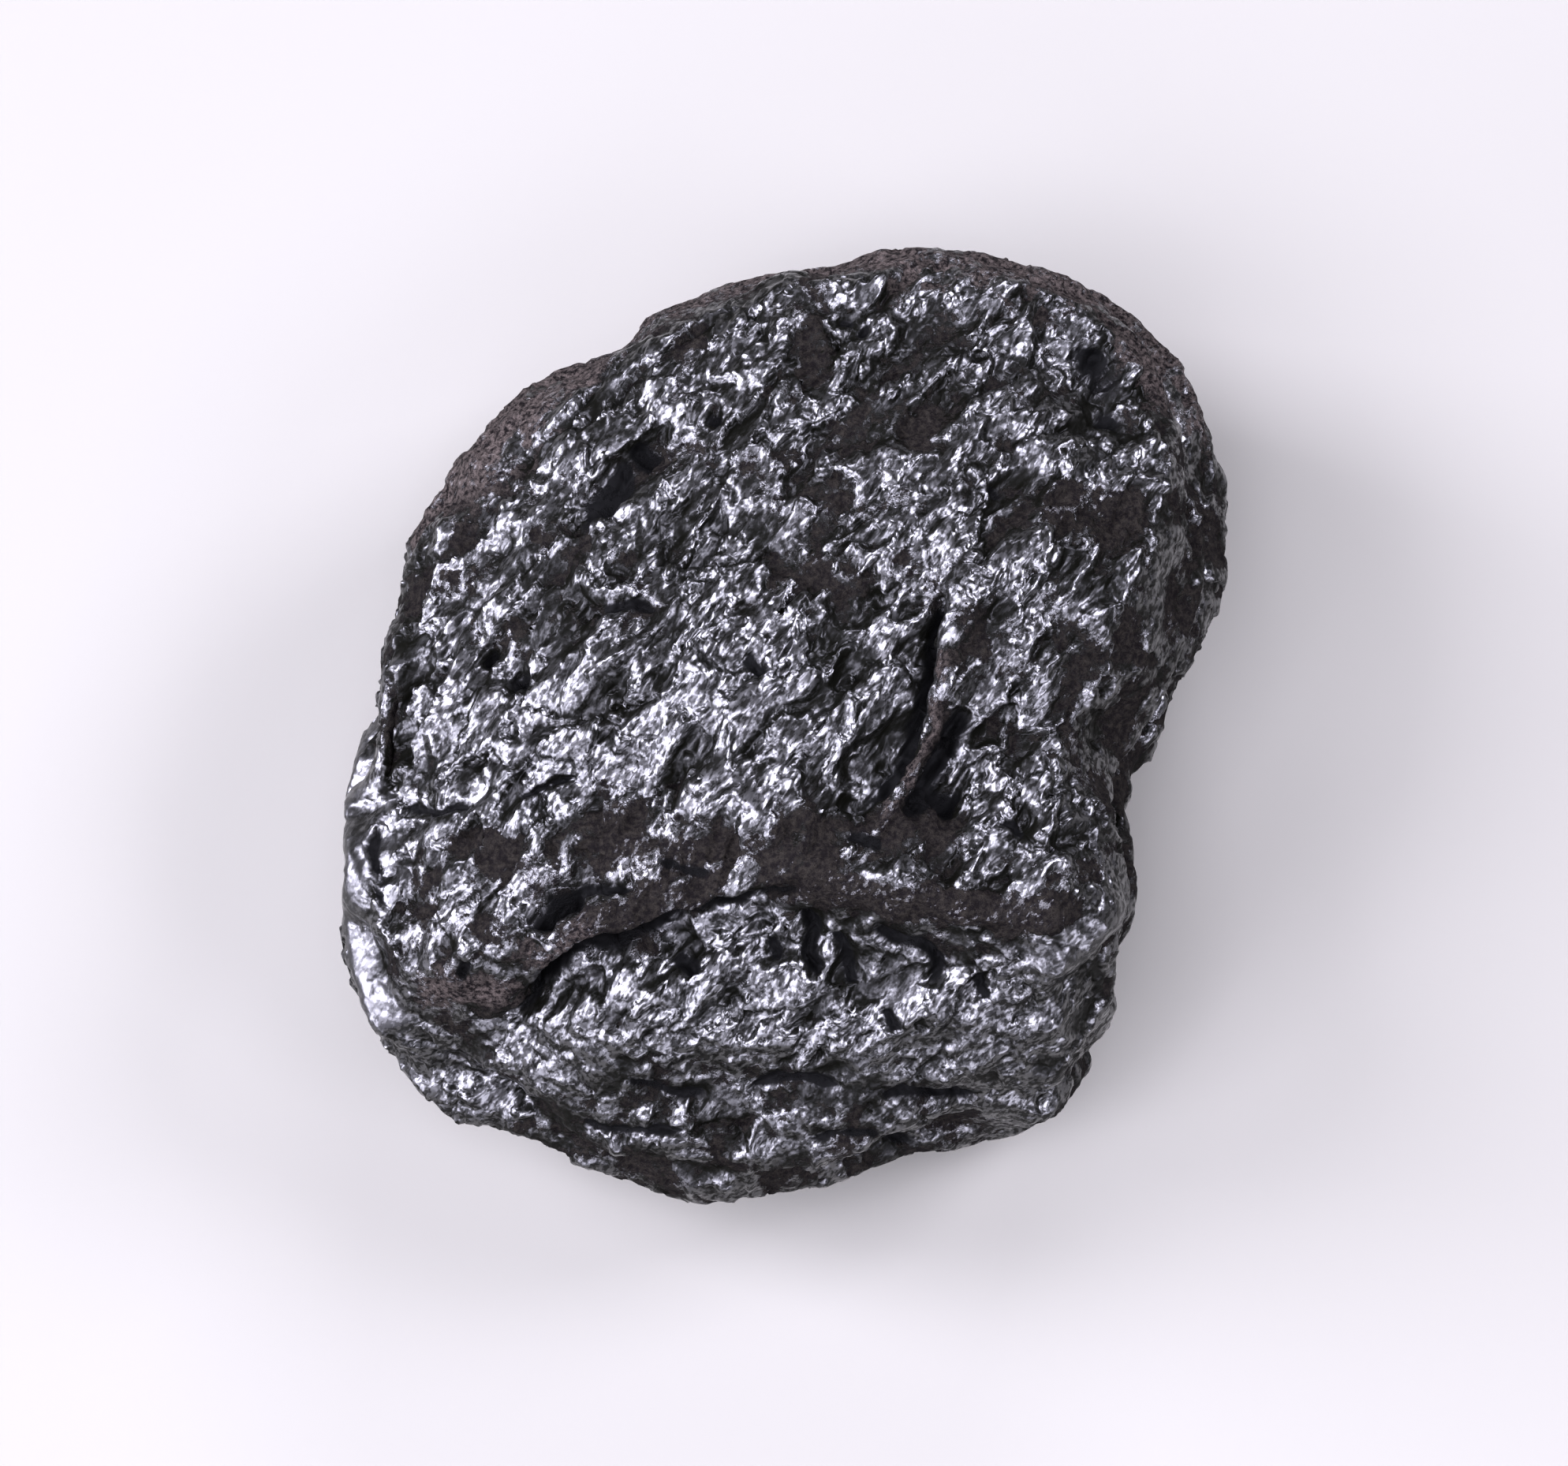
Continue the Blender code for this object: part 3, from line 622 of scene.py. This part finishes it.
# Painted shade: the mask of cracks and shaded hollows that are painted black and matt.
crack_shade = add(nodes, "ShaderNodeMapRange", {"interpolation_type": "SMOOTHSTEP"},
            {"Value": in_gap_shade, "From Min": CRACK_BEGINS, "From Max": CRACK_IS_WHOLE})

# The powder is cloudy at about 0.25 mm, and paler where it lies thick; on the back rim and the groove's
# ridge that paler powder is partly a painted sheen.
CLOUDS_PER_MM = 4.0
CLOUD_BEGINS, CLOUD_IS_WHOLE = 0.42, 0.66
dust = add(nodes, "ShaderNodeTexNoise", None,
           {"Vector": in_mm, "Scale": CLOUDS_PER_MM, "Detail": 4.0, "Roughness": 0.75})
cloudy = add(nodes, "ShaderNodeMapRange", None,
             {"Value": dust, "From Min": CLOUD_BEGINS, "From Max": CLOUD_IS_WHOLE})
thin = add(nodes, "ShaderNodeMix", {"data_type": "RGBA"},
           {0: cloudy, 6: THIN_POWDER, 7: CLOUDY_POWDER})
heaped_and_sheen = add(nodes, "ShaderNodeMath", {"operation": "MULTIPLY"}, {0: thickness_and_sheen, 1: cloudy})
powder_and_sheen = add(nodes, "ShaderNodeMix", {"data_type": "RGBA"},
              {0: heaped_and_sheen, 6: thin.outputs[2], 7: THICK_POWDER_AND_SHEEN})
colour = add(nodes, "ShaderNodeMix", {"data_type": "RGBA"},
             {0: film_and_shade, 6: BARE_PITCH, 7: powder_and_sheen.outputs[2]})
colour = add(nodes, "ShaderNodeMix", {"data_type": "RGBA"},
             {0: crack_shade, 6: colour.outputs[2], 7: CRACK_SHADE_BLACK})
nodes.links.new(colour.outputs[2], shader.inputs["Base Color"])
matt = add(nodes, "ShaderNodeMath", {"operation": "MAXIMUM"}, {0: film_and_shade, 1: crack_shade})
roughness = add(nodes, "ShaderNodeMapRange", None,
                {"Value": matt, "To Min": BARE_ROUGHNESS, "To Max": POWDER_ROUGHNESS})
nodes.links.new(roughness.outputs[0], shader.inputs["Roughness"])

# The gloss is broken by grit that lies along one lean. Real grit is finer than this, and wouldn't show.
# Where it stands high it has worn the powder's film, and where it lies low it dulls the gloss, but less so
# on clean taut skin.
GRIT_LEAN = math.radians(-55)
GRIT_PER_MM = (2.5, 4.7, 4.7)
WORN_BEGINS, WORN_IS_WHOLE = 0.54, 0.64
LOST_TO_FILM, LOST_TO_WORN_FILM = 0.97, 0.4
PITTED_BELOW, UNPITTED_ABOVE = 0.42, 0.58
GLOSS_IN_PITS = 0.15
GLOSS_WHERE_TAUT = 0.6
shaded = add(nodes, "ShaderNodeMath", {"operation": "MAXIMUM"}, {0: crack_shade, 1: sunk})
along = add(nodes, "ShaderNodeVectorRotate", {"rotation_type": "Z_AXIS"},
            {"Vector": in_mm, "Angle": GRIT_LEAN})
along = add(nodes, "ShaderNodeVectorMath", {"operation": "MULTIPLY"}, {0: along, 1: GRIT_PER_MM})
grit = add(nodes, "ShaderNodeTexNoise", None,
           {"Vector": along, "Scale": 1.0, "Detail": 2.0, "Roughness": 0.6})
worn = add(nodes, "ShaderNodeMapRange", {"interpolation_type": "SMOOTHSTEP"},
           {"Value": grit, "From Min": WORN_BEGINS, "From Max": WORN_IS_WHOLE,
            "To Min": -LOST_TO_FILM, "To Max": -LOST_TO_WORN_FILM})
bareness = add(nodes, "ShaderNodeMath", {"operation": "MULTIPLY_ADD"}, {0: film_and_shade, 1: worn, 2: 1.0})
bareness = add(nodes, "ShaderNodeMath", {"operation": "SUBTRACT", "use_clamp": True},
               {0: bareness, 1: shaded})
pitted = add(nodes, "ShaderNodeMapRange", {"interpolation_type": "SMOOTHSTEP"},
             {"Value": grit, "From Min": PITTED_BELOW, "From Max": UNPITTED_ABOVE,
              "To Min": GLOSS_IN_PITS})
clean = add(nodes, "ShaderNodeMath", {"operation": "SUBTRACT", "use_clamp": True}, {0: taut, 1: film_and_shade})
smooth = add(nodes, "ShaderNodeMath", {"operation": "MULTIPLY"}, {0: clean, 1: GLOSS_WHERE_TAUT})
pitted = add(nodes, "ShaderNodeMath", {"operation": "MAXIMUM"}, {0: pitted, 1: smooth})
gloss = add(nodes, "ShaderNodeMath", {"operation": "MULTIPLY"}, {0: bareness, 1: pitted})
nodes.links.new(gloss.outputs[0], shader.inputs["Coat Weight"])

# Wrinkles too small for the mesh are a bump: streaks on top, each with a lean, waves per millimetre and a
# height in millimetres, and beads on the flanks. Powder and tautness calm them, and the powder adds dust.
STREAKS = ((-55, (0.42, 1.3, 1.3), 0.28), (-60, (0.8, 2.6, 2.6), 0.07))
BEADS_PER_STREAK = 0.8
STREAK_BEND = 0.3
CALMED_BY_FILM = 0.35
CALMED_BY_TAUTNESS = 0.4
DUST_HEIGHT = 0.18
grain = 0.0
for lean, per_mm, height in STREAKS:
    leaning = add(nodes, "ShaderNodeVectorRotate", {"rotation_type": "Z_AXIS"},
                  {"Vector": in_mm, "Angle": math.radians(lean)})
    streaks = add(nodes, "ShaderNodeVectorMath", {"operation": "MULTIPLY"}, {0: leaning, 1: per_mm})
    streaks = add(nodes, "ShaderNodeTexNoise", None,
                  {"Vector": streaks, "Scale": 1.0, "Detail": 1.0, "Distortion": STREAK_BEND})
    beads = add(nodes, "ShaderNodeTexNoise", None,
                {"Vector": in_mm, "Scale": BEADS_PER_STREAK * per_mm[1], "Detail": 1.0,
                 "Distortion": STREAK_BEND})
    relief = add(nodes, "ShaderNodeMix", {"data_type": "FLOAT"}, {0: on_top, 2: beads, 3: streaks})
    grain = add(nodes, "ShaderNodeMath", {"operation": "MULTIPLY_ADD"}, {0: relief, 1: height, 2: grain})
calmer = add(nodes, "ShaderNodeMath", {"operation": "MULTIPLY_ADD"}, {0: film_and_shade, 1: -CALMED_BY_FILM, 2: 1.0})
calmer = add(nodes, "ShaderNodeMath", {"operation": "MULTIPLY_ADD"},
             {0: clean, 1: -CALMED_BY_TAUTNESS, 2: calmer})
grain = add(nodes, "ShaderNodeMath", {"operation": "MULTIPLY"}, {0: grain, 1: calmer})
dusty = add(nodes, "ShaderNodeMath", {"operation": "MULTIPLY"}, {0: dust, 1: film_and_shade})
grain = add(nodes, "ShaderNodeMath", {"operation": "MULTIPLY_ADD"}, {0: dusty, 1: DUST_HEIGHT, 2: grain})
bump = add(nodes, "ShaderNodeBump", None, {"Height": grain, "Distance": MM, "Strength": 1.0})
nodes.links.new(bump.outputs[0], shader.inputs["Normal"])
nodes.links.new(bump.outputs[0], shader.inputs["Coat Normal"])

# The skin's tree takes the form to its finished shape, the mesh is thinned out to what one piece may have,
# and the lump goes from millimetres to metres.
SKIN_TRIANGLES = 190_000
lump = bpy.data.objects.new("shilajit_lump_skin", body)
bpy.context.scene.collection.objects.link(lump)
crumpled = lump.modifiers.new("crumpled_skin", "NODES")
crumpled.node_group = tree
for item in tree.interface.items_tree:
    if item.name in SKIN_SIZES:
        crumpled[item.identifier] = SKIN_SIZES[item.name]
    if item.name == "Material":
        crumpled[item.identifier] = resin
thin_out = lump.modifiers.new("thin_out", "DECIMATE")
thin_out.ratio = SKIN_TRIANGLES / (2 * len(body.polygons))
finished = plain_mesh(lump, "shilajit_lump_skin")
lump.modifiers.clear()
lump.data = finished
finished.transform(Matrix.Scale(MM, 4))
finished.shade_smooth()
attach(lump, "root")
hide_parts("shilajit_lump")


# The table. A plain sheet of board, far wider than the lump that lies on it. It is painted pale and matt,
# so that it shows soft shadows and no gloss.
HALF_SHEET = 3.0
BOARD_COLOUR = "#4b4a44"
BOARD_ROUGHNESS = 0.9
sheet = bpy.data.meshes.new("table")
corners = [(-HALF_SHEET, -HALF_SHEET, 0), (HALF_SHEET, -HALF_SHEET, 0),
           (HALF_SHEET, HALF_SHEET, 0), (-HALF_SHEET, HALF_SHEET, 0)]
sheet.from_pydata(corners, [], [(0, 1, 2, 3)])
table = bpy.data.objects.new("table", sheet)
bpy.context.scene.collection.objects.link(table)
board = bpy.data.materials.new("pale_sheet")
board.use_nodes = True
board_shader = board.node_tree.nodes["Principled BSDF"]
board_shader.inputs["Base Color"].default_value = linear(BOARD_COLOUR)
board_shader.inputs["Roughness"].default_value = BOARD_ROUGHNESS
table.data.materials.append(board)


# The lights. Small cool softboxes stand round the lump at several heights, so that facets that face every
# way find one to throw back. A weak broad one and a dim room fill in between them.
COOL = "#eae8ff"
COOL_BROAD = "#e6e2fc"
ROOM_COLOUR = "#e8e2de"
ROOM_STRENGTH = 0.04

# Each softbox has an azimuth, counted from the right, anticlockwise, and an elevation, both in degrees, a
# distance, a width and a height, all in metres, a radiance and a colour.
SOFTBOXES = [
    ("key_softbox", 240, 72, 0.9, 0.42, 0.42, 43.0, COOL),
    ("left_softbox", 214, 50, 0.9, 0.3, 0.3, 55.0, COOL),
    ("low_left_softbox", 212, 20, 0.9, 0.7, 0.4, 26.0, COOL),
    ("broad_softbox", 225, 60, 1.0, 1.4, 1.2, 1.0, COOL_BROAD),
    ("side_softbox", 166, 34, 0.9, 0.3, 0.8, 76.0, COOL),
    ("back_softbox", 80, 35, 0.9, 0.35, 0.2, 56.0, COOL),
    ("front_softbox", 262, 40, 0.9, 0.35, 0.25, 20.0, COOL),
    ("low_front_softbox", 258, 14, 0.9, 0.6, 0.3, 7.0, COOL),
    ("front_right_softbox", 325, 50, 0.9, 0.25, 0.25, 45.0, COOL),
    ("low_right_softbox", 308, 9, 0.9, 0.8, 0.25, 19.0, COOL),
    ("right_softbox", 22, 46, 0.9, 0.3, 0.4, 76.0, COOL),
]
for name, azimuth, elevation, distance, width, height, radiance, colour in SOFTBOXES:
    lamp = bpy.data.lights.new(name, "AREA")
    lamp.shape = "RECTANGLE"
    lamp.size = width
    lamp.size_y = height
    lamp.energy = radiance * math.pi * width * height
    lamp.color = linear(colour)[:3]
    holder = bpy.data.objects.new(name, lamp)
    turn, tilt = math.radians(azimuth), math.radians(elevation)
    towards = Vector((math.cos(turn) * math.cos(tilt), math.sin(turn) * math.cos(tilt), math.sin(tilt)))
    holder.location = towards * distance
    holder.rotation_euler = towards.to_track_quat("Z", "Y").to_euler()
    bpy.context.scene.collection.objects.link(holder)

room = bpy.data.worlds.new("studio")
bpy.context.scene.world = room
room.use_nodes = True
background = room.node_tree.nodes["Background"]
background.inputs["Color"].default_value = linear(ROOM_COLOUR)
background.inputs["Strength"].default_value = ROOM_STRENGTH
bpy.context.scene.view_settings.view_transform = "Standard"
